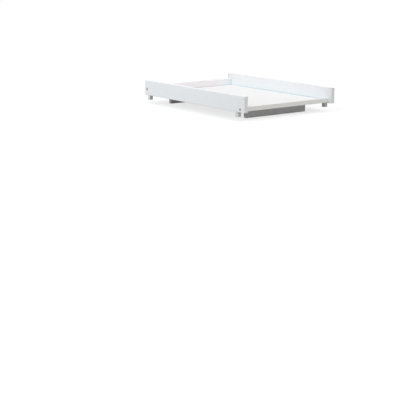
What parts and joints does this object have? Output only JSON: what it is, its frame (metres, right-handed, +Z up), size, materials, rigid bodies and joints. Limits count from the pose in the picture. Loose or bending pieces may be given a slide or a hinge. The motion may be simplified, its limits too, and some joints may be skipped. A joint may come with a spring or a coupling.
{
  "type": "cot top changer",
  "caption": "White wooden changing tray that sits across a cot: tall side boards, low front rail and back board, flat panel, with cleats and stop blocks below to keep it on the rails.",
  "frame": {"origin": "middle of the footprint, at the undersides of the two cleats, on which the changer stands when it is off the cot", "axes": "+Z up; +Y along the side boards from the low front rail to the back board; +X to the right when seen from the front rail"},
  "size_m": [0.518, 0.746, 0.11],
  "materials": {
    "side_board_white": "satin white paint on solid wood",
    "cross_piece_white": "satin white paint on solid wood",
    "panel_white": "smooth satin white paint on fibreboard",
    "cleat_white": "matt white paint on solid wood",
    "beech": "bare beech",
    "zinc_plated_steel": "dull zinc plate",
    "painted_steel_white": "painted over with the panel"
  },
  "bodies": {
    "root": {"left_side_board": "side_board_white", "right_side_board": "side_board_white", "front_rail": "cross_piece_white", "back_board": "cross_piece_white", "changing_panel": "panel_white", "front_cleat": "cleat_white", "rear_cleat": "cleat_white", "stop_front_left": "cleat_white", "stop_front_right": "cleat_white", "stop_rear_left": "cleat_white", "stop_rear_right": "cleat_white", "frame_screw_front_left": "zinc_plated_steel", "frame_screw_front_right": "zinc_plated_steel", "frame_screw_back_left": "zinc_plated_steel", "frame_screw_back_right": "zinc_plated_steel", "back_dowel_left": "beech", "back_dowel_right": "beech", "cleat_screw_front_left": "painted_steel_white", "cleat_screw_front_middle": "painted_steel_white", "cleat_screw_front_right": "painted_steel_white", "cleat_screw_rear_left": "painted_steel_white", "cleat_screw_rear_middle": "painted_steel_white", "cleat_screw_rear_right": "painted_steel_white", "stop_screw_front_left": "zinc_plated_steel", "stop_screw_front_right": "zinc_plated_steel", "stop_screw_rear_left": "zinc_plated_steel", "stop_screw_rear_right": "zinc_plated_steel"}
  },
  "joints": []
}
